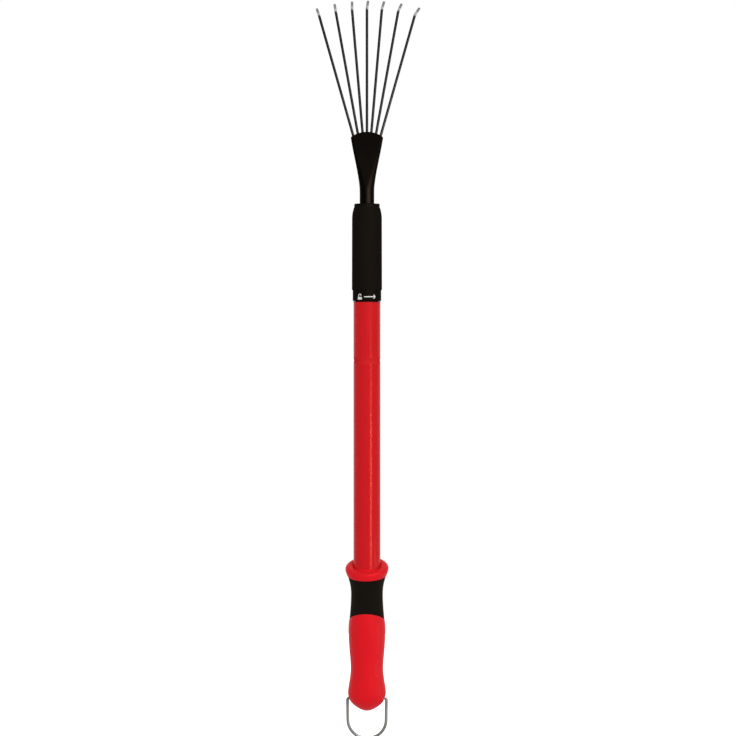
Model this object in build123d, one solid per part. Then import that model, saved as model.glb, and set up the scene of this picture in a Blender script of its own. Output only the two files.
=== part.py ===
from build123d import *

import math
import os

# A telescopic hand rake, closed and locked. Sizes are in millimetres and degrees. The shaft is the Z axis,
# upwards to the tines, the origin is the middle of the hand grip, and -Y is the front.

# Tubes
OUTER_TUBE_RADIUS = 11.6
OUTER_TUBE_WALL = 1.0
OUTER_TUBE_TOP = 291.6
OUTER_TUBE_BOTTOM = -40.0
INNER_TUBE_RADIUS = 6.25
INNER_TUBE_WALL = 1.0
INNER_TUBE_TOP = 371.0
GROOVE_HEIGHT = 241.4
GROOVE_WIDTH = 5.0
GROOVE_DEPTH = 0.35
PRESS_GAP = 0.03
RUNNING_GAP = 0.08

# Rake head
FAN_CENTRE = 393.5
TINE_ANGLES = (-15.9, -10.3, -4.9, 0.0, 4.9, 10.3, 15.9)
TINE_RADIUS = 1.15
TINE_ROOT = 29.5
TINE_REACH = 151.5
HOOK_LENGTH = 14.0
HOOK_TURN = 60.0
HOOK_BEND_RADIUS = 4.0
HOOK_SPLAY = 0.3
TINE_TIP_BEVEL = 0.4
SOCKET_NECK_TOP = 387.0
SOCKET_SHANK_BOTTOM = 341.0
SOCKET_BORE_RADIUS = 4.0
SOCKET_BORE_TOP = 396.0
SOCKET_MOUTH_ARC = 24.0
SOCKET_MOUTH_TOP = 438.4
SOCKET_LIP_ROUNDING = 1.4
SOCKET_CORNER_ROUNDING = 3.0
SOCKET_FACE_DEPTH = 3.3
SOCKET_MOUTH_SPARE = 0.2
SOCKET_FOOT_RADIUS = INNER_TUBE_RADIUS + 0.05
PIN_RADIUS = 1.25
PIN_HEIGHT = 356.0
PIN_SET_BACK = 0.2

# Sections of the socket, from a circle to a flat oval: height, half width and half depth
SOCKET_RINGS = (
    (SOCKET_NECK_TOP, SOCKET_FOOT_RADIUS, SOCKET_FOOT_RADIUS),
    (391.0, 6.45, 6.1),
    (397.0, 7.15, 5.3),
    (405.0, 8.5, 4.1),
    (415.0, 10.5, 3.1),
    (431.0, 13.6, 2.6),
    (442.0, 15.8, 2.5),
)
RING_FLAT = 0.05

# Twist lock
LOCK_BODY_BOTTOM = 236.0
LOCK_BODY_TOP = 352.0
LOCK_FLANGE = 0.7
THREAD_RADIUS = 9.9
THREAD_GAP = 0.1
THREAD_TOP = 320.0
LOCK_NOSE_RADIUS = 9.5
LOCK_CORE_RADIUS = 8.2
BEARING_LENGTH = 14.0
SEAT_TOP_RADIUS = 8.9
SEAT_BOTTOM_RADIUS = 7.8
SEAT_DEPTH = 14.0
COLLET_GAP = 0.25
COLLET_LIFT = 0.6
COLLET_FLANGE_RADIUS = 9.3
COLLET_FLANGE = 2.3
COLLET_SLOTS = 6
COLLET_SLOT_WIDTH = 1.2
NUT_BOTTOM = 292.6
NUT_BAND_TOP = 301.7
NUT_BAND_RADIUS = 12.28
NUT_BORE_RADIUS = THREAD_RADIUS + THREAD_GAP
NUT_SHOULDER = 355.0
NUT_CHAMBER_RADIUS = 7.9
NUT_MOUTH_RADIUS = 6.6
NUT_MOUTH_BOTTOM = 373.0
NUT_TOP = 376.4
NUT_RIM_RADIUS = 10.95
NUT_RIM_BOTTOM = 373.7
NUT_EDGE_ROUNDING = 0.6
COVER_SEAT_RADIUS = 11.4
COVER_SEAT_TOP_RADIUS = 9.9
COVER_TAPER_START = 363.5
COVER_RADIUS_LOW = 12.99
COVER_RADIUS_HIGH = 12.86
COVER_EDGE_ROUNDING = 1.2

# Lower end of the inner tube
PLUG_BOTTOM = -39.7
PLUG_FLANGE = 2.5
PLUG_FLANGE_RADIUS = 9.0
PLUG_LENGTH = 14.0
PLUG_CORE_RADIUS = 3.4
BUSH_LENGTH = 18.0
BUSH_FLUTES = 6
BUSH_FLUTE_RADIUS = 1.6
BUSH_PLAY = 0.2
CLIP_THICKNESS = 1.0
CLIP_INNER_RADIUS = 5.9
CLIP_OUTER_RADIUS = 7.5
CLIP_ARC = 320.0
CLIP_POCKET_RADIUS = 8.0
CLIP_POCKET_DEPTH = 3.0

# Hand grip
GRIP_BOTTOM = -60.5
GRIP_END = -47.0
GRIP_END_RADIUS = 16.35
GRIP_DOME_SHOULDER = (16.2, -53.6)
GRIP_DOME_FLAT = 5.6
GRIP_NECK_RADIUS = 12.5
BAND_INSET = 0.25
BAND_EDGE_ROUNDING = 0.5
BAND_LOW_HEIGHT = 17.6
BAND_LOW_TILT = -22.5
BAND_HIGH_HEIGHT = 56.3
BAND_HIGH_TILT = 15.6
LIP_HEIGHT = 62.1
LIP_TILT = 24.0
LIP_CIRCLE = 14.6
LIP_HALF_WIDTH = 4.0
LIP_RISE = 3.3
LIP_END_ANGLE = 140.0

# Hang loop
WIRE_RADIUS = 1.25
PIVOT_HEIGHT = -49.4
LOOP_BOTTOM = -83.95
LOOP_HALF_WIDTH_TOP = 16.9
LOOP_HALF_WIDTH_LOW = 16.25
LOOP_PIVOT_END = 8.0
LOOP_EYE_RADIUS = 2.2
LOOP_CORNER_RADIUS = 15.7
PIVOT_GAP = 0.1
PIVOT_POCKET_RADIUS = 5.0
PIVOT_POCKET_FLOOR = 14.2

BORE_RADIUS = INNER_TUBE_RADIUS + RUNNING_GAP
TUBE_BORE_RADIUS = OUTER_TUBE_RADIUS - OUTER_TUBE_WALL
SHANK_RADIUS = INNER_TUBE_RADIUS - INNER_TUBE_WALL - PRESS_GAP
BUSH_BOTTOM = PLUG_BOTTOM + PLUG_FLANGE + BUSH_PLAY
CLIP_BOTTOM = BUSH_BOTTOM + BUSH_LENGTH + BUSH_PLAY
COLLET_BOTTOM = LOCK_BODY_TOP - SEAT_DEPTH + COLLET_LIFT

# Length of a cutting form that only has to reach past the piece
BEYOND = 80.0


def tilted(height, tilt):
    """Plane across the shaft at a height, turned about X so that a positive tilt has its front low."""
    angle = math.radians(tilt)
    return Plane(origin=(0, 0, height), x_dir=(1, 0, 0), z_dir=(0, -math.sin(angle), math.cos(angle)))


def turned(outline, arc=360):
    """Solid turned about Z from a closed outline of edges, with radius as x and height as y."""
    return revolve(Plane.XZ * make_face(outline), axis=Axis.Z, revolution_arc=arc)


def turned_ring(*points):
    """Solid turned about Z from the corners of its half profile, as (radius, height)."""
    return turned(Polyline(*points, close=True))


def grooved_side(radius, bottom, top):
    """Side of a half profile, from bottom to top, with the rolled groove in it."""
    low, high = GROOVE_HEIGHT - GROOVE_WIDTH / 2, GROOVE_HEIGHT + GROOVE_WIDTH / 2
    return [
        Line((radius, bottom), (radius, low)),
        ThreePointArc((radius, low), (radius - GROOVE_DEPTH, GROOVE_HEIGHT), (radius, high)),
        Line((radius, high), (radius, top)),
    ]


def swept_wire(path, radius):
    """Round wire along a path."""
    return sweep(Plane(origin=path @ 0, z_dir=path % 0) * Circle(radius), path=path)


def outer_tube():
    """Tube whose wall is rolled inwards all round, to hold the lock body."""
    outside = grooved_side(OUTER_TUBE_RADIUS, OUTER_TUBE_BOTTOM, OUTER_TUBE_TOP)
    inside = grooved_side(TUBE_BORE_RADIUS, OUTER_TUBE_BOTTOM, OUTER_TUBE_TOP)
    heights = (OUTER_TUBE_BOTTOM, OUTER_TUBE_TOP)
    ends = [Line((TUBE_BORE_RADIUS, height), (OUTER_TUBE_RADIUS, height)) for height in heights]
    return turned(outside + inside + ends)


def inner_tube():
    """Sliding tube, with a groove for the clip and a cross hole for the head's pin."""
    foot = PLUG_BOTTOM + PLUG_FLANGE
    groove_top = CLIP_BOTTOM + CLIP_THICKNESS
    bore = INNER_TUBE_RADIUS - INNER_TUBE_WALL
    tube = turned_ring(
        (bore, foot),
        (INNER_TUBE_RADIUS, foot),
        (INNER_TUBE_RADIUS, CLIP_BOTTOM),
        (CLIP_INNER_RADIUS, CLIP_BOTTOM),
        (CLIP_INNER_RADIUS, groove_top),
        (INNER_TUBE_RADIUS, groove_top),
        (INNER_TUBE_RADIUS, INNER_TUBE_TOP),
        (bore, INNER_TUBE_TOP),
    )
    return tube - cross_cylinder(BEYOND)


def cross_cylinder(length):
    """Cylinder of the pin's size across the shaft."""
    return Pos(0, 0, PIN_HEIGHT) * Rot(0, 90, 0) * Cylinder(PIN_RADIUS, length)


def head_pin():
    """Cross pin, a little below the tube's surface so that it passes through the lock."""
    return cross_cylinder(2 * (INNER_TUBE_RADIUS - PIN_SET_BACK))


def tine(fan_angle):
    """Wire tine at an angle to the shaft: straight out from the fan's centre, then a hook that turns to
    the back and a little outwards."""
    angle = math.radians(fan_angle)
    splay = angle * HOOK_SPLAY
    along = Vector(math.sin(angle), 0, math.cos(angle))
    across = Vector(math.cos(angle), 0, -math.sin(angle))
    back = Vector(0, 1, 0) * math.cos(splay) + across * math.sin(splay)
    fan = Plane(origin=(0, 0, FAN_CENTRE), x_dir=along, z_dir=along.cross(back))
    turn = math.radians(HOOK_TURN)
    tip = (TINE_REACH + HOOK_LENGTH * math.cos(turn), HOOK_LENGTH * math.sin(turn))
    path = fan * FilletPolyline((TINE_ROOT, 0), (TINE_REACH, 0), tip, radius=(HOOK_BEND_RADIUS,))
    wire = swept_wire(path, TINE_RADIUS)
    tip_face = wire.faces().sort_by_distance(path @ 1)[0]
    return chamfer(tip_face.edges(), TINE_TIP_BEVEL)


def tines():
    """All the tines, from left to right."""
    return [tine(angle) for angle in TINE_ANGLES]


def socket_ring(height, half_width, half_depth):
    """One section of the socket, the flat oval that a tube is pressed to."""
    oval = RectangleRounded(2 * half_width, 2 * half_depth, half_depth - RING_FLAT)
    return Pos(0, 0, height) * oval


def socket_mouth():
    """Room that the flattened end of the socket fills: the fan's outline with rounded corners and a curved
    mouth, thinned to a rounded lip."""
    centre = SOCKET_MOUTH_TOP - SOCKET_MOUTH_ARC
    low, high = SOCKET_RINGS[-2], SOCKET_RINGS[-1]
    slope = (high[1] - low[1]) / (high[0] - low[0])
    half_low = low[1] - slope * (low[0] - centre) + SOCKET_MOUTH_SPARE
    half_high = high[1] + SOCKET_MOUTH_SPARE
    sides = make_face(Polyline(
        (-half_low, 0),
        (half_low, 0),
        (half_high, high[0] - centre),
        (-half_high, high[0] - centre),
        close=True,
    ))
    outline = sides & Circle(SOCKET_MOUTH_ARC)
    outline = fillet(outline.vertices().group_by(Axis.Y)[-1], SOCKET_CORNER_ROUNDING)
    fan = extrude(outline, SOCKET_FACE_DEPTH, both=True)
    rim_start = SOCKET_MOUTH_ARC - SOCKET_LIP_ROUNDING
    rim_depth = SOCKET_FACE_DEPTH - SOCKET_LIP_ROUNDING
    rim = [
        Line((rim_start, SOCKET_FACE_DEPTH), (0, SOCKET_FACE_DEPTH)),
        Line((0, SOCKET_FACE_DEPTH), (0, -SOCKET_FACE_DEPTH)),
        Line((0, -SOCKET_FACE_DEPTH), (rim_start, -SOCKET_FACE_DEPTH)),
        TangentArc((rim_start, -SOCKET_FACE_DEPTH), (SOCKET_MOUTH_ARC, -rim_depth), tangent=(1, 0)),
        Line((SOCKET_MOUTH_ARC, -rim_depth), (SOCKET_MOUTH_ARC, rim_depth)),
        TangentArc((SOCKET_MOUTH_ARC, rim_depth), (rim_start, SOCKET_FACE_DEPTH), tangent=(0, 1)),
    ]
    return Pos(0, 0, centre) * Rot(90, 0, 0) * (fan & turned(rim))


def head_socket():
    """Fishtail pressed from a tube: a round neck that flattens and widens to a curved mouth, shut on the
    tines, with a shank below that fits in the inner tube."""
    flare = loft([socket_ring(*ring) for ring in SOCKET_RINGS])
    mouth = socket_mouth()
    below_mouth = Pos(0, 0, SOCKET_MOUTH_TOP - SOCKET_MOUTH_ARC) * Box(
        BEYOND, BEYOND, BEYOND, align=(Align.CENTER, Align.CENTER, Align.MAX)
    )
    flare = flare & (mouth + below_mouth)
    neck = turned_ring(
        (0, SOCKET_SHANK_BOTTOM),
        (SHANK_RADIUS, SOCKET_SHANK_BOTTOM),
        (SHANK_RADIUS, INNER_TUBE_TOP),
        (INNER_TUBE_RADIUS, INNER_TUBE_TOP),
        (INNER_TUBE_RADIUS, SOCKET_NECK_TOP),
        (0, SOCKET_NECK_TOP),
    )
    bore = turned_ring(
        (0, SOCKET_SHANK_BOTTOM),
        (SOCKET_BORE_RADIUS, SOCKET_SHANK_BOTTOM),
        (SOCKET_BORE_RADIUS, SOCKET_BORE_TOP),
        (0, SOCKET_BORE_TOP + SOCKET_BORE_RADIUS),
    )
    return flare + neck - bore - cross_cylinder(BEYOND) - tines()


def lock_body():
    """Plastic body of the lock: a spigot that the rolled groove grips, a flange on the tube's end, the
    thread for the nut and a tapered seat for the collet. Two bearings guide the inner tube."""
    spigot_radius = TUBE_BORE_RADIUS - PRESS_GAP
    flange_top = OUTER_TUBE_TOP + LOCK_FLANGE
    seat_bottom = LOCK_BODY_TOP - SEAT_DEPTH
    pocket_top = LOCK_BODY_BOTTOM + CLIP_POCKET_DEPTH
    spigot = grooved_side(spigot_radius, LOCK_BODY_BOTTOM, OUTER_TUBE_TOP)
    rest = Polyline(
        (spigot_radius, OUTER_TUBE_TOP),
        (OUTER_TUBE_RADIUS, OUTER_TUBE_TOP),
        (OUTER_TUBE_RADIUS, flange_top),
        (THREAD_RADIUS, flange_top),
        (THREAD_RADIUS, THREAD_TOP),
        (LOCK_NOSE_RADIUS, THREAD_TOP),
        (LOCK_NOSE_RADIUS, LOCK_BODY_TOP),
        (SEAT_TOP_RADIUS + COLLET_GAP, LOCK_BODY_TOP),
        (SEAT_BOTTOM_RADIUS + COLLET_GAP, seat_bottom),
        (BORE_RADIUS, seat_bottom),
        (BORE_RADIUS, seat_bottom - BEARING_LENGTH),
        (LOCK_CORE_RADIUS, seat_bottom - BEARING_LENGTH),
        (LOCK_CORE_RADIUS, pocket_top + BEARING_LENGTH),
        (BORE_RADIUS, pocket_top + BEARING_LENGTH),
        (BORE_RADIUS, pocket_top),
        (CLIP_POCKET_RADIUS, pocket_top),
        (CLIP_POCKET_RADIUS, LOCK_BODY_BOTTOM),
        (spigot_radius, LOCK_BODY_BOTTOM),
    )
    return turned(spigot + rest.edges())


def collet():
    """Split ring with a flange at the top and tapered fingers below."""
    flange_bottom = LOCK_BODY_TOP + COLLET_LIFT
    flange_top = flange_bottom + COLLET_FLANGE
    ring = turned_ring(
        (BORE_RADIUS, COLLET_BOTTOM),
        (SEAT_BOTTOM_RADIUS, COLLET_BOTTOM),
        (SEAT_TOP_RADIUS, flange_bottom),
        (COLLET_FLANGE_RADIUS, flange_bottom),
        (COLLET_FLANGE_RADIUS, flange_top),
        (BORE_RADIUS, flange_top),
    )
    slot = Box(
        COLLET_FLANGE_RADIUS,
        COLLET_SLOT_WIDTH,
        flange_bottom - COLLET_BOTTOM,
        align=(Align.MIN, Align.CENTER, Align.MIN),
    )
    return ring - Pos(0, 0, COLLET_BOTTOM) * PolarLocations(0, COLLET_SLOTS) * slot


def lock_nut():
    """Nut that is turned to clamp: a band at the bottom, a seat for the soft cover and a rim at the top.
    The shoulder inside presses on the collet."""
    nut = turned_ring(
        (NUT_BORE_RADIUS, NUT_BOTTOM),
        (NUT_BAND_RADIUS, NUT_BOTTOM),
        (NUT_BAND_RADIUS, NUT_BAND_TOP),
        (COVER_SEAT_RADIUS, NUT_BAND_TOP),
        (COVER_SEAT_RADIUS, COVER_TAPER_START),
        (COVER_SEAT_TOP_RADIUS, NUT_RIM_BOTTOM),
        (NUT_RIM_RADIUS, NUT_RIM_BOTTOM),
        (NUT_RIM_RADIUS, NUT_TOP),
        (NUT_MOUTH_RADIUS, NUT_TOP),
        (NUT_MOUTH_RADIUS, NUT_MOUTH_BOTTOM),
        (NUT_CHAMBER_RADIUS, NUT_MOUTH_BOTTOM),
        (NUT_CHAMBER_RADIUS, NUT_SHOULDER),
        (NUT_BORE_RADIUS, NUT_SHOULDER),
    )
    circles = nut.edges().filter_by(GeomType.CIRCLE).group_by(Axis.Z)
    outer_edges = [level.sort_by(SortBy.RADIUS)[-1] for level in (circles[0], circles[-1])]
    return fillet(outer_edges, NUT_EDGE_ROUNDING)


def nut_cover():
    """Soft sleeve moulded over the nut, drawn in at the top."""
    shoulder = (COVER_RADIUS_HIGH, COVER_TAPER_START)
    top = (NUT_RIM_RADIUS, NUT_RIM_BOTTOM)
    outline = [
        Line((COVER_SEAT_RADIUS, NUT_BAND_TOP), (COVER_RADIUS_LOW, NUT_BAND_TOP)),
        Line((COVER_RADIUS_LOW, NUT_BAND_TOP), shoulder),
        TangentArc(shoulder, top, tangent=(0, 1)),
        Line(top, (COVER_SEAT_TOP_RADIUS, NUT_RIM_BOTTOM)),
        Line((COVER_SEAT_TOP_RADIUS, NUT_RIM_BOTTOM), (COVER_SEAT_RADIUS, COVER_TAPER_START)),
        Line((COVER_SEAT_RADIUS, COVER_TAPER_START), (COVER_SEAT_RADIUS, NUT_BAND_TOP)),
    ]
    sleeve = turned(outline)
    foot = sleeve.edges().filter_by(GeomType.CIRCLE).group_by(Axis.Z)[0].sort_by(SortBy.RADIUS)[-1]
    return fillet(foot, COVER_EDGE_ROUNDING)


def guide_bush():
    """Ring that runs in the outer tube, fluted so that air can pass."""
    outer = TUBE_BORE_RADIUS - RUNNING_GAP
    ring = Pos(0, 0, BUSH_BOTTOM) * turned_ring(
        (BORE_RADIUS, 0),
        (outer, 0),
        (outer, BUSH_LENGTH),
        (BORE_RADIUS, BUSH_LENGTH),
    )
    flute = Cylinder(BUSH_FLUTE_RADIUS, BUSH_LENGTH, align=(Align.CENTER, Align.CENTER, Align.MIN))
    return ring - Pos(0, 0, BUSH_BOTTOM) * PolarLocations(outer, BUSH_FLUTES) * flute


def bush_clip():
    """Open spring ring in the inner tube's groove."""
    top = CLIP_BOTTOM + CLIP_THICKNESS
    corners = Polyline(
        (CLIP_INNER_RADIUS, CLIP_BOTTOM),
        (CLIP_OUTER_RADIUS, CLIP_BOTTOM),
        (CLIP_OUTER_RADIUS, top),
        (CLIP_INNER_RADIUS, top),
        close=True,
    )
    return turned(corners, CLIP_ARC)


def end_plug():
    """Cored plug in the foot of the inner tube, with a flange under the bush."""
    flange_top = PLUG_BOTTOM + PLUG_FLANGE
    return turned_ring(
        (PLUG_CORE_RADIUS, PLUG_BOTTOM),
        (PLUG_FLANGE_RADIUS, PLUG_BOTTOM),
        (PLUG_FLANGE_RADIUS, flange_top),
        (SHANK_RADIUS, flange_top),
        (SHANK_RADIUS, flange_top + PLUG_LENGTH),
        (PLUG_CORE_RADIUS, flange_top + PLUG_LENGTH),
    )


def grip_form(inset=0.0):
    """Outer form of the hand grip from its end to the lip: oval sections, the upper ones tilted more and
    more. Each is a height, half width, half depth and tilt."""
    lip_edge = LIP_CIRCLE + LIP_HALF_WIDTH
    sections = (
        (GRIP_END, GRIP_END_RADIUS, GRIP_END_RADIUS, 0),
        (-41.0, 16.1, 16.3, 0),
        (-34.0, 14.95, 15.5, 0),
        (-24.0, 14.0, 14.9, 0),
        (-10.0, 14.9, 15.8, 0),
        (3.0, 15.75, 16.7, 0),
        (12.0, 15.85, 16.6, 0),
        (19.0, 15.2, 15.7, 0),
        (28.0, 14.4, 14.7, 0),
        (38.0, 13.92, 14.1, 0),
        (45.0, 14.15, 14.25, 4),
        (50.0, 15.0, 15.05, 8),
        (53.4, 15.9, 15.9, 11),
        (57.0, 17.05, 16.95, 17),
        (60.2, 18.2, 18.0, 22),
        (LIP_HEIGHT, lip_edge, lip_edge, LIP_TILT),
    )
    return loft([tilted(h, t) * Ellipse(w - inset, d - inset) for h, w, d, t in sections])


def grip_lip():
    """Rounded lip of the collar, turned about its own tilted axis, with a shallow dish round the tube."""
    arc = EllipticalCenterArc((LIP_CIRCLE, 0), LIP_HALF_WIDTH, LIP_RISE, arc_size=LIP_END_ANGLE)
    edge, inner = arc @ 0, arc @ 1
    outline = [
        arc,
        Line(inner, (0, inner.Y)),
        Line((0, inner.Y), (0, 0)),
        Line((0, 0), edge),
    ]
    return tilted(LIP_HEIGHT, LIP_TILT) * turned(outline)


def grip_end():
    """Domed end of the grip."""
    rim = (GRIP_END_RADIUS, GRIP_END)
    bottom = (0, GRIP_BOTTOM)
    outline = [
        Bezier(rim, GRIP_DOME_SHOULDER, (GRIP_DOME_FLAT, GRIP_BOTTOM), bottom),
        Line(bottom, (0, GRIP_END)),
        Line((0, GRIP_END), rim),
    ]
    return turned(outline)


def band_planes():
    """Lower and upper border of the soft band."""
    return tilted(BAND_LOW_HEIGHT, BAND_LOW_TILT), tilted(BAND_HIGH_HEIGHT, BAND_HIGH_TILT)


def grip_core():
    """Hard body of the grip: a palm swell with a domed end, a thin neck under the soft band and a slanted
    collar, with a blind bore for the tube and a pocket each side for the loop's ends."""
    low, high = band_planes()
    form = grip_form()
    palm = split(form, bisect_by=low, keep=Keep.BOTTOM)
    palm_edge = palm.edges().sort_by(Axis.Z)[-1]
    palm = fillet(palm_edge, BAND_EDGE_ROUNDING)
    collar = split(form, bisect_by=high, keep=Keep.TOP)
    collar_edge = collar.edges().sort_by(Axis.Z)[0]
    collar = fillet(collar_edge, BAND_EDGE_ROUNDING)
    neck = Pos(0, 0, GRIP_END) * Cylinder(
        GRIP_NECK_RADIUS, LIP_HEIGHT - GRIP_END, align=(Align.CENTER, Align.CENTER, Align.MIN)
    )
    bore = Pos(0, 0, OUTER_TUBE_BOTTOM) * Cylinder(
        OUTER_TUBE_RADIUS + PRESS_GAP,
        OUTER_TUBE_TOP,
        align=(Align.CENTER, Align.CENTER, Align.MIN),
    )
    core = palm + grip_end() + neck + collar + grip_lip() - bore
    outwards = (Align.CENTER, Align.CENTER, Align.MIN)
    pocket = Pos(0, 0, PIVOT_POCKET_FLOOR) * Cylinder(PIVOT_POCKET_RADIUS, BEYOND, align=outwards)
    hole = Cylinder(WIRE_RADIUS + PIVOT_GAP, BEYOND, align=outwards)
    hole = Pos(0, 0, LOOP_PIVOT_END - PIVOT_GAP) * hole
    for side in (-1, 1):
        core -= Pos(0, 0, PIVOT_HEIGHT) * Rot(0, 90 * side, 0) * (pocket + hole)
    return core


def soft_band():
    """Soft band round the neck of the grip, a little below the hard faces beside it."""
    low, high = band_planes()
    band = split(grip_form(BAND_INSET), bisect_by=low, keep=Keep.TOP)
    band = split(band, bisect_by=high, keep=Keep.BOTTOM)
    return band - Pos(0, 0, BAND_LOW_HEIGHT) * Cylinder(GRIP_NECK_RADIUS + PRESS_GAP, 2 * BEYOND)


def hang_loop():
    """Wire bail whose ends turn in and sit in the grip's two holes."""
    path = Plane.XZ * FilletPolyline(
        (-LOOP_PIVOT_END, PIVOT_HEIGHT),
        (-LOOP_HALF_WIDTH_TOP, PIVOT_HEIGHT),
        (-LOOP_HALF_WIDTH_LOW, LOOP_BOTTOM),
        (LOOP_HALF_WIDTH_LOW, LOOP_BOTTOM),
        (LOOP_HALF_WIDTH_TOP, PIVOT_HEIGHT),
        (LOOP_PIVOT_END, PIVOT_HEIGHT),
        radius=(LOOP_EYE_RADIUS, LOOP_CORNER_RADIUS, LOOP_CORNER_RADIUS, LOOP_EYE_RADIUS),
    )
    return swept_wire(path, WIRE_RADIUS)


def main():
    """Build every piece and write it to its own file."""
    pieces = {
        "grip_core": grip_core(),
        "soft_band": soft_band(),
        "hang_loop": hang_loop(),
        "outer_tube": outer_tube(),
        "lock_body": lock_body(),
        "collet": collet(),
        "lock_nut": lock_nut(),
        "nut_cover": nut_cover(),
        "inner_tube": inner_tube(),
        "guide_bush": guide_bush(),
        "bush_clip": bush_clip(),
        "end_plug": end_plug(),
        "head_socket": head_socket(),
        "head_pin": head_pin(),
    }
    for number, wire in enumerate(tines(), start=1):
        pieces[f"tine_{number}"] = wire
    os.makedirs("parts", exist_ok=True)
    for name, piece in pieces.items():
        export_step(piece, f"parts/{name}.step")


main()
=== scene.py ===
import math

import bmesh
import bpy
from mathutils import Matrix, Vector


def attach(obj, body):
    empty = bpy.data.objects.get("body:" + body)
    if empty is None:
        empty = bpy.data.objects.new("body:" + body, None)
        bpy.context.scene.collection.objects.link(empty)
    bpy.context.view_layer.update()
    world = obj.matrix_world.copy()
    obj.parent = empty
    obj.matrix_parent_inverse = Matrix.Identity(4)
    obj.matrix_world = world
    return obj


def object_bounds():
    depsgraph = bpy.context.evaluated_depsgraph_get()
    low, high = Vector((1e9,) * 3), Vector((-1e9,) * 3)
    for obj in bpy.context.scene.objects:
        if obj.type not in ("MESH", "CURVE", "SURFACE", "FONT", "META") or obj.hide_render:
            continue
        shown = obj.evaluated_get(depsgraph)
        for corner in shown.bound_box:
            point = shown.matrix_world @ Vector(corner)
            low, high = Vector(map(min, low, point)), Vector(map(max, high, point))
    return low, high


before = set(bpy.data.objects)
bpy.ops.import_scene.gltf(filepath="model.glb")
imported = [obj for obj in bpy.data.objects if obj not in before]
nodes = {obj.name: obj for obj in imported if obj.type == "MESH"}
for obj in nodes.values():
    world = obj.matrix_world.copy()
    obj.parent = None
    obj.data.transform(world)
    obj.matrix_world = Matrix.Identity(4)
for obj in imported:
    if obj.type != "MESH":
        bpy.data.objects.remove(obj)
cad_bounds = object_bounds()

# The looks of a telescopic hand rake, in metres and degrees. The shaft is the Z axis and the front is -Y.
MM = 0.001
MICRON = 0.000001
WHITE = (1.0, 1.0, 1.0, 1.0)

# View
VIEW_WIDTH = 0.6344
VIEW_CENTRE = (0.0009, 0.2349)
VIEW_AZIMUTH = 4.4
CAMERA_DISTANCE = 3.0
SENSOR = 36.0

# Surroundings
FILL = 0.53
FLOOR_RADIUS = 1.2
FLOOR_GAP = 0.2 * MM
FLOOR_GLOW = 0.6

# Places on the shaft
GROOVE_HEIGHT = 241.4 * MM
GROOVE_HALF_WIDTH = 2.5 * MM
MARK_HEIGHT = 296.1 * MM
NECK_TOP = 387.0 * MM
PRESSED_FLAT = 424.0 * MM
FAN_CENTRE = 393.5 * MM

# Stretches of a tine, from the fan's centre: where it turns to unpainted steel with a painted highlight in
# the bend, and where that painted highlight dims to the darker grey of the tip
BARE_WITH_PAINTED_HIGHLIGHT = (150.3 * MM, 152.1 * MM)
PAINTED_HIGHLIGHT_FADE = (153.6 * MM, 155.0 * MM)

# Print on the band of the nut
BAND_RADIUS = 12.28 * MM
MARK_THICKNESS = 60.0 * MICRON

# Spans of the noise over which a surface changes from one look to the other
GRAIN = (0.3, 0.7)
BLOTCHES = (0.35, 0.7)
RUBBING = (0.4, 0.75)
WORN_PATCHES = (0.4, 0.65)

# Cosine of the angle by which a rounding would turn the surface, from where wear starts to where it is full
EDGE_TURN = (0.99, 0.85)

# Size of worn patches, in widths of the worn edge
WORN_SIZE = 4

# Roughness added in the groove and where the head is pressed flat
GROOVE_DULLNESS = 0.6
PRESSED_DULLNESS = 0.36

# Share of a ring's half width over which its borders fade
RING_FADE = 0.28

# Tint of the faint gleam on black mouldings
WARM = (1.0, 0.75, 0.58)


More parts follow.
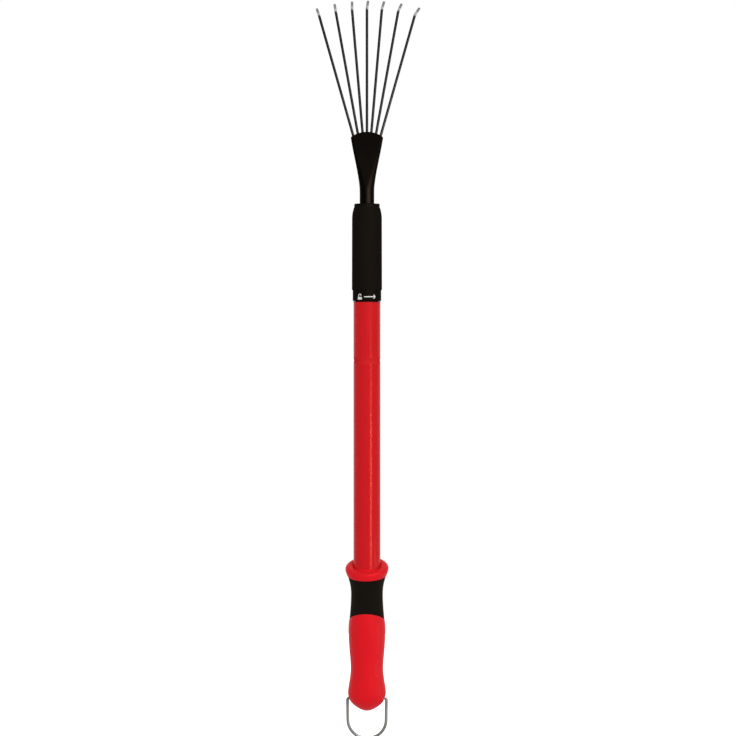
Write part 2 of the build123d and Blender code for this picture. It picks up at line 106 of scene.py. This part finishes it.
class Finish:
    """Material of one surface: a Principled shader and the procedural detail that drives it."""

    # Sockets of a mix of colours, by number
    MIX_AMOUNT, MIX_FIRST, MIX_SECOND, MIX_RESULT = 0, 6, 7, 2

    def __init__(self, name, colour, gloss, gleam=(1.0, 1.0, 1.0)):
        self.material = bpy.data.materials.new(name)
        self.material.use_nodes = True
        self.tree = self.material.node_tree
        self.shader = self.tree.nodes["Principled BSDF"]
        self.place = self.tree.nodes.new("ShaderNodeTexCoord").outputs["Object"]
        self.colour = (*colour, 1.0)
        self.material.diffuse_color = self.colour
        self.even("Base Color", self.colour)
        self.even("Specular IOR Level", gloss)
        self.even("Specular Tint", (*gleam, 1.0))

    def even(self, socket, value):
        """Set one of the shader's sockets to a value that is the same all over."""
        self.shader.inputs[socket].default_value = value

    def drive(self, socket, value):
        """Link a value that varies to one of the shader's sockets."""
        self.tree.links.new(value, self.shader.inputs[socket])

    def add(self, kind, inputs, **settings):
        """New node, with each input set to a value or linked to another node's output."""
        made = self.tree.nodes.new(kind)
        for name, value in settings.items():
            setattr(made, name, value)
        for name, value in inputs.items():
            if isinstance(value, bpy.types.NodeSocket):
                self.tree.links.new(value, made.inputs[name])
            else:
                made.inputs[name].default_value = value
        return made

    def mapped(self, value, span, result=(0.0, 1.0)):
        """Value from one span to another, held at its ends."""
        made = self.add("ShaderNodeMapRange", {
            "Value": value,
            "From Min": span[0],
            "From Max": span[1],
            "To Min": result[0],
            "To Max": result[1],
        })
        return made.outputs["Result"]

    def times(self, first, second):
        """Product of two values."""
        return self.add("ShaderNodeMath", {0: first, 1: second}, operation="MULTIPLY").outputs["Value"]

    def plus(self, first, second):
        """Sum of two values."""
        return self.add("ShaderNodeMath", {0: first, 1: second}, operation="ADD").outputs["Value"]

    def noise(self, size, detail=3.0, lengthwise=1.0):
        """Noise with blotches of about the given size, drawn out along the shaft as many times as said."""
        scale = (1.0 / size, 1.0 / size, 1.0 / (size * lengthwise))
        spread = self.add("ShaderNodeMapping", {"Vector": self.place, "Scale": scale})
        made = self.add("ShaderNodeTexNoise", {
            "Vector": spread.outputs["Vector"],
            "Scale": 1.0,
            "Detail": detail,
        })
        return made.outputs["Fac"]

    def height(self):
        """Height on the object."""
        return self.add("ShaderNodeSeparateXYZ", {"Vector": self.place}).outputs["Z"]

    def distance(self, centre):
        """Distance from a point of the object."""
        made = self.add("ShaderNodeVectorMath", {0: self.place, 1: centre}, operation="DISTANCE")
        return made.outputs["Value"]

    def ring(self, middle, half_width):
        """Mask of a ring round the shaft at the given height, with soft borders."""
        height = self.height()
        fade = RING_FADE * half_width
        low = middle - half_width
        high = middle + half_width
        above = self.mapped(height, (low - fade, low + fade))
        below = self.mapped(height, (high - fade, high + fade), result=(1.0, 0.0))
        return self.times(above, below)

    def edges(self, width):
        """Mask of the piece's edges, up to the given width from them."""
        rounded = self.add("ShaderNodeBevel", {"Radius": width}, samples=6).outputs["Normal"]
        plain = self.add("ShaderNodeNewGeometry", {}).outputs["Normal"]
        turn = self.add("ShaderNodeVectorMath", {0: rounded, 1: plain}, operation="DOT_PRODUCT")
        return self.mapped(turn.outputs["Value"], EDGE_TURN)

    def tint(self, amount, colour):
        """Mix another colour into the base colour."""
        made = self.add("ShaderNodeMix", {
            self.MIX_AMOUNT: amount,
            self.MIX_FIRST: self.colour,
            self.MIX_SECOND: (*colour, 1.0),
        }, data_type="RGBA")
        self.colour = made.outputs[self.MIX_RESULT]
        self.drive("Base Color", self.colour)

    def blotches(self, size, most, colour):
        """Soft blotches with at most the given share of another colour."""
        places = self.noise(size)
        self.tint(self.mapped(places, BLOTCHES, result=(0.0, most)), colour)
        return places

    def rubbing(self, width, lengthwise, roughness):
        """Roughness of a surface with rub marks along the shaft, between two limits."""
        return self.mapped(self.noise(width, lengthwise=lengthwise), RUBBING, result=roughness)

    def worn_edges(self, width, colour):
        """Rub the edges in patches to another colour."""
        patches = self.mapped(self.noise(WORN_SIZE * width, detail=5.0), WORN_PATCHES)
        self.tint(self.times(self.edges(width), patches), colour)

    def bump(self, height, depth):
        """Relief of the given depth."""
        made = self.add("ShaderNodeBump", {"Height": height, "Distance": depth, "Strength": 1.0})
        self.drive("Normal", made.outputs["Normal"])


def red_paint():
    """Gloss paint of the handle tube: mottled, rubbed lengthwise, faintly uneven, and dull in the groove."""
    paint = Finish("red_paint", (0.612, 0.0125, 0.0175), gloss=0.1, gleam=(1.0, 0.17, 0.09))
    paint.blotches(size=30 * MM, most=0.25, colour=(0.55, 0.0098, 0.0138))
    rubbed = paint.rubbing(width=1.2 * MM, lengthwise=40.0, roughness=(0.16, 0.26))
    groove = paint.ring(GROOVE_HEIGHT, GROOVE_HALF_WIDTH)
    paint.drive("Roughness", paint.plus(rubbed, paint.times(groove, GROOVE_DULLNESS)))
    paint.bump(paint.noise(1.1 * MM), depth=0.5 * MICRON)
    paint.worn_edges(width=0.6 * MM, colour=(0.36, 0.006, 0.009))
    return paint


def red_plastic():
    """Moulded grip, with the fine texture of its mould and the seams rubbed a little darker."""
    plastic = Finish("red_plastic", (0.74, 0.0117, 0.019), gloss=0.15, gleam=(1.0, 0.04, 0.03))
    plastic.blotches(size=20 * MM, most=0.25, colour=(0.67, 0.0098, 0.0155))
    plastic.drive("Roughness", plastic.mapped(plastic.noise(4 * MM), GRAIN, result=(0.38, 0.5)))
    plastic.bump(plastic.noise(0.6 * MM), depth=22 * MICRON)
    plastic.worn_edges(width=0.8 * MM, colour=(0.6, 0.009, 0.0145))
    return plastic


def black_rubber(name, bloom):
    """Soft moulding: matt, finely grained and a little dusty, with a bloom that shows towards its edges."""
    rubber = Finish(name, (0.008, 0.0061, 0.0046), gloss=0.003, gleam=WARM)
    rubber.even("Sheen Weight", bloom)
    rubber.even("Sheen Tint", (1.0, 0.72, 0.5, 1.0))
    dust = rubber.times(rubber.noise(12 * MM), rubber.noise(0.9 * MM))
    rubber.tint(rubber.mapped(dust, span=(0.2, 0.45), result=(0.0, 0.5)), (0.0105, 0.0082, 0.0064))
    rubber.drive("Roughness", rubber.mapped(dust, span=(0.15, 0.4), result=(0.6, 0.8)))
    rubber.bump(rubber.noise(0.6 * MM), depth=50 * MICRON)
    rubber.worn_edges(width=0.9 * MM, colour=(0.018, 0.0145, 0.012))
    return rubber


def black_plastic():
    """Hard black moulding with a satin skin."""
    plastic = Finish("black_plastic", (0.006, 0.0044, 0.0034), gloss=0.004, gleam=WARM)
    mottle = plastic.blotches(size=6 * MM, most=0.4, colour=(0.0085, 0.0066, 0.0052))
    plastic.drive("Roughness", plastic.mapped(mottle, GRAIN, result=(0.4, 0.55)))
    plastic.bump(plastic.noise(0.6 * MM), depth=10 * MICRON)
    plastic.worn_edges(width=0.6 * MM, colour=(0.016, 0.0128, 0.0105))
    return plastic


def natural_plastic():
    """Undyed moulding of the parts inside."""
    plastic = Finish("natural_plastic", (0.75, 0.73, 0.66), gloss=0.4)
    mottle = plastic.blotches(size=6 * MM, most=0.3, colour=(0.68, 0.65, 0.56))
    plastic.drive("Roughness", plastic.mapped(mottle, GRAIN, result=(0.42, 0.55)))
    plastic.bump(plastic.noise(0.6 * MM), depth=10 * MICRON)
    plastic.worn_edges(width=0.5 * MM, colour=(0.52, 0.49, 0.41))
    return plastic


def black_paint(name, gloss, gleam):
    """Paint of the head and the sliding tube: rubbed lengthwise, duller where the head is pressed flat."""
    paint = Finish(name, (0.0004, 0.0006, 0.0006), gloss, gleam)
    paint.blotches(size=10 * MM, most=0.4, colour=(0.0014, 0.0014, 0.0011))
    rubbed = paint.rubbing(width=0.8 * MM, lengthwise=30.0, roughness=(0.36, 0.46))
    pressed = paint.mapped(paint.height(), (NECK_TOP, PRESSED_FLAT))
    paint.drive("Roughness", paint.plus(rubbed, paint.times(pressed, PRESSED_DULLNESS)))
    paint.bump(paint.noise(0.9 * MM), depth=4 * MICRON)
    paint.worn_edges(width=0.7 * MM, colour=(0.012, 0.0102, 0.0085))
    return paint


def black_wire():
    """Black spring wire, unpainted steel at the hooks, with a painted highlight in the bend that dims to a
    darker grey at the tip.
    """
    wire = Finish("black_wire", (0.007, 0.007, 0.0065), gloss=0.05)
    # Painted highlight: the hook is tinted light grey in its bend and a darker grey beyond it, for the light
    # the bend catches. The unpainted steel there is also made metallic.
    ragged_border = wire.mapped(wire.noise(3 * MM, detail=5.0), span=(0.35, 0.65), result=(-0.8 * MM, 0.8 * MM))
    reach = wire.plus(wire.distance((0.0, 0.0, FAN_CENTRE)), ragged_border)
    bare_with_painted_highlight = wire.mapped(reach, BARE_WITH_PAINTED_HIGHLIGHT)
    wire.tint(bare_with_painted_highlight, (0.42, 0.412, 0.396))
    wire.tint(wire.mapped(reach, PAINTED_HIGHLIGHT_FADE), (0.2, 0.195, 0.185))
    wire.drive("Metallic", wire.mapped(bare_with_painted_highlight, span=(0.3, 1.0), result=(0.0, 0.8)))
    wire.drive("Roughness", wire.mapped(wire.noise(2 * MM), GRAIN, result=(0.28, 0.42)))
    wire.bump(wire.noise(0.6 * MM, lengthwise=12.0), depth=5 * MICRON)
    wire.worn_edges(width=0.3 * MM, colour=(0.3, 0.292, 0.278))
    return wire


def steel_wire():
    """Steel wire with a dull zinc plating and fine marks."""
    steel = Finish("steel_wire", (0.2, 0.199, 0.19), gloss=0.05, gleam=(0.2, 0.2, 0.2))
    steel.even("Metallic", 0.3)
    marks = steel.noise(1.5 * MM, detail=6.0)
    steel.tint(steel.mapped(marks, span=(0.4, 0.7), result=(0.0, 0.5)), (0.15, 0.149, 0.141))
    steel.drive("Roughness", steel.mapped(marks, GRAIN, result=(0.25, 0.42)))
    steel.bump(steel.noise(0.4 * MM), depth=6 * MICRON)
    steel.worn_edges(width=0.3 * MM, colour=(0.34, 0.334, 0.312))
    return steel


def white_print():
    """Pad print, slightly uneven."""
    ink = Finish("white_print", (0.72, 0.71, 0.69), gloss=0.2)
    patchy = ink.noise(0.6 * MM)
    ink.tint(ink.mapped(patchy, span=(0.45, 0.75), result=(0.0, 0.5)), (0.45, 0.44, 0.42))
    ink.drive("Roughness", ink.mapped(patchy, GRAIN, result=(0.5, 0.65)))
    ink.bump(patchy, depth=10 * MICRON)
    ink.worn_edges(width=0.1 * MM, colour=(0.4, 0.39, 0.37))
    return ink


def dress(finish, *names):
    """Give a finish to CAD nodes."""
    for name in names:
        mesh = nodes[name].data
        mesh.materials.clear()
        mesh.materials.append(finish.material)


def placed(name, data):
    """New object in the scene."""
    made = bpy.data.objects.new(name, data)
    bpy.context.scene.collection.objects.link(made)
    return made


def shaped(name, shape, finish):
    """New object from a finished shape, in the finish given."""
    mesh = bpy.data.meshes.new(name)
    shape.to_mesh(mesh)
    shape.free()
    mesh.materials.append(finish.material)
    return placed(name, mesh)


def on_band(flat, lift):
    """Point lifted off the band, from its distance round the front and its height from the marks' middle."""
    angle = flat.x / BAND_RADIUS
    radius = BAND_RADIUS + lift
    return (radius * math.sin(angle), -radius * math.cos(angle), MARK_HEIGHT + flat.y)


def draw(shape, points, width):
    """Add a raised line through the points to the shape, closed at both ends."""
    previous = None
    for number, point in enumerate(points):
        ahead = points[min(number + 1, len(points) - 1)] - points[max(number - 1, 0)]
        side = ahead.normalized().orthogonal() * width / 2
        corners = (
            on_band(point + side, 0.0),
            on_band(point - side, 0.0),
            on_band(point - side, MARK_THICKNESS),
            on_band(point + side, MARK_THICKNESS),
        )
        ring = [shape.verts.new(corner) for corner in corners]
        if previous is None:
            shape.faces.new(ring)
        else:
            for corner in range(4):
                beside = (corner + 1) % 4
                shape.faces.new((previous[corner], previous[beside], ring[beside], ring[corner]))
        previous = ring
    shape.faces.new(reversed(previous))


def straight(first, last, steps):
    """Points of a straight line, close enough together to follow the band round."""
    return [first.lerp(last, step / steps) for step in range(steps + 1)]


def padlock():
    """Lines of an open padlock, each with its width: a shackle with one short leg, and a body."""
    middle = -5.5 * MM
    bend_centre = Vector((middle, 1.1 * MM))
    bend_radius = 1.2 * MM
    bend_steps = 8
    long_leg = Vector((middle - bend_radius, -0.5 * MM))
    short_leg = Vector((middle + bend_radius, 0.7 * MM))
    shackle_width = 0.7 * MM
    body_left = Vector((middle - 2.0 * MM, -1.3 * MM))
    body_right = Vector((middle + 2.0 * MM, -1.3 * MM))
    body_width = 2.2 * MM

    shackle = [long_leg]
    for step in range(bend_steps + 1):
        angle = math.pi * (1 - step / bend_steps)
        shackle.append(bend_centre + bend_radius * Vector((math.cos(angle), math.sin(angle))))
    shackle.append(short_leg)
    body = straight(body_left, body_right, steps=8)
    return [(shackle, shackle_width), (body, body_width)]


def arrow():
    """Lines of an arrow to the right, each with its width."""
    width = 0.8 * MM
    barb = 1.6 * MM
    tail = Vector((-1.5 * MM, 0.0))
    tip = Vector((8.5 * MM, 0.0))
    return [
        (straight(tail, tip, steps=16), width),
        (straight(tip + Vector((-barb, barb)), tip, steps=4), width),
        (straight(tip + Vector((-barb, -barb)), tip, steps=4), width),
    ]


def lock_marks():
    """Print on the nut that says which way the lock opens: an open padlock and an arrow to the right."""
    shape = bmesh.new()
    for points, width in padlock() + arrow():
        draw(shape, points, width)
    bmesh.ops.recalc_face_normals(shape, faces=shape.faces)
    marks = shaped("lock_marks", shape, white_print())
    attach(marks, "twist_sleeve")


def lamp(name, bearing, distance, height, size, radiance):
    """Soft rectangular lamp that faces the middle of the view, at a bearing to the right of the camera's."""
    angle = math.radians(VIEW_AZIMUTH + bearing)
    place = Vector((distance * math.sin(angle), -distance * math.cos(angle), height))
    target = Vector((0.0, 0.0, VIEW_CENTRE[1]))
    glow = bpy.data.lights.new(name, "AREA")
    glow.shape = "RECTANGLE"
    glow.size, glow.size_y = size
    glow.energy = math.pi * size[0] * size[1] * radiance
    made = placed(name, glow)
    made.location = place
    made.rotation_euler = (target - place).to_track_quat("-Z", "Y").to_euler()
    made.visible_camera = False
    return made


def lamps():
    """Broad lamps at the camera's side and behind, and strips at the right.

    The broad lamps don't show in the gloss of the surfaces. The strips show only there, as a bright line
    down the tube, the neck, the tines and the grip.
    """
    broad = [
        lamp("key", bearing=13.0, distance=2.4, height=1.05, size=(2.6, 1.8), radiance=2.25),
        lamp("back", bearing=190.0, distance=2.4, height=1.05, size=(1.2, 1.8), radiance=3.0),
    ]
    strips = [
        lamp("tube_strip", bearing=34.5, distance=1.6, height=0.07, size=(0.38, 0.28), radiance=50.0),
        lamp("neck_strip", bearing=25.5, distance=0.35, height=0.392, size=(0.38, 0.04), radiance=125.0),
        lamp("tine_strip", bearing=30.0, distance=0.6, height=0.6, size=(0.12, 0.14), radiance=130.0),
        lamp("grip_strip", bearing=75.0, distance=0.6, height=-0.035, size=(0.3, 0.09), radiance=20.0),
    ]
    for made in broad:
        made.visible_glossy = False
    for made in strips:
        made.visible_diffuse = False


def white_room():
    """White surroundings for the camera and for reflections, and a plain fill of light from all round."""
    world = bpy.data.worlds.new("white_room")
    bpy.context.scene.world = world
    world.use_nodes = True
    tree = world.node_tree
    fill = tree.nodes["Background"]
    fill.inputs["Color"].default_value = WHITE
    fill.inputs["Strength"].default_value = FILL
    white = tree.nodes.new("ShaderNodeBackground")
    white.inputs["Color"].default_value = WHITE
    rays = tree.nodes.new("ShaderNodeLightPath").outputs
    seen = rays["Is Camera Ray"]
    for ray in ("Is Glossy Ray", "Is Transmission Ray"):
        either = tree.nodes.new("ShaderNodeMath")
        either.operation = "MAXIMUM"
        tree.links.new(seen, either.inputs[0])
        tree.links.new(rays[ray], either.inputs[1])
        seen = either.outputs["Value"]
    mix = tree.nodes.new("ShaderNodeMixShader")
    tree.links.new(seen, mix.inputs[0])
    tree.links.new(fill.outputs[0], mix.inputs[1])
    tree.links.new(white.outputs[0], mix.inputs[2])
    tree.links.new(mix.outputs[0], tree.nodes["World Output"].inputs["Surface"])


def floor():
    """Pale floor just under the object, which takes its shadow."""
    pale = Finish("floor", (0.9, 0.9, 0.9), gloss=0.0)
    pale.even("Roughness", 0.9)
    pale.even("Emission Color", WHITE)
    rays = pale.add("ShaderNodeLightPath", {}).outputs
    pale.drive("Emission Strength", pale.times(rays["Is Camera Ray"], FLOOR_GLOW))
    shape = bmesh.new()
    bmesh.ops.create_circle(shape, cap_ends=True, segments=96, radius=FLOOR_RADIUS)
    made = shaped("floor", shape, pale)
    made.location = (0.0, 0.0, cad_bounds[0][2] - FLOOR_GAP)


def camera():
    """Camera at the photograph's place, far off, level with the middle of the object."""
    lens = bpy.data.cameras.new("camera")
    lens.sensor_width = SENSOR
    lens.lens = SENSOR * CAMERA_DISTANCE / VIEW_WIDTH
    made = placed("camera", lens)
    angle = math.radians(VIEW_AZIMUTH)
    across, height = VIEW_CENTRE
    made.location = (
        CAMERA_DISTANCE * math.sin(angle) + across * math.cos(angle),
        -CAMERA_DISTANCE * math.cos(angle) + across * math.sin(angle),
        height,
    )
    made.rotation_euler = (math.radians(90.0), 0.0, angle)
    bpy.context.scene.camera = made


def main():
    dress(red_paint(), "outer_tube")
    dress(red_plastic(), "grip_core")
    dress(black_rubber("cover_rubber", bloom=0.0), "nut_cover")
    dress(black_rubber("grip_rubber", bloom=0.06), "soft_band")
    dress(black_plastic(), "lock_nut", "lock_body")
    dress(natural_plastic(), "collet", "guide_bush", "end_plug")
    dress(black_paint("head_paint", gloss=0.0165, gleam=(1.0, 0.66, 0.46)), "head_socket")
    dress(black_paint("tube_paint", gloss=0.05, gleam=(1.0, 0.85, 0.75)), "inner_tube")
    dress(black_wire(), *(name for name in nodes if name.startswith("tine_")))
    dress(steel_wire(), "hang_loop", "bush_clip", "head_pin")
    lock_marks()
    white_room()
    floor()
    lamps()
    camera()
    bpy.context.scene.view_settings.view_transform = "Standard"


main()
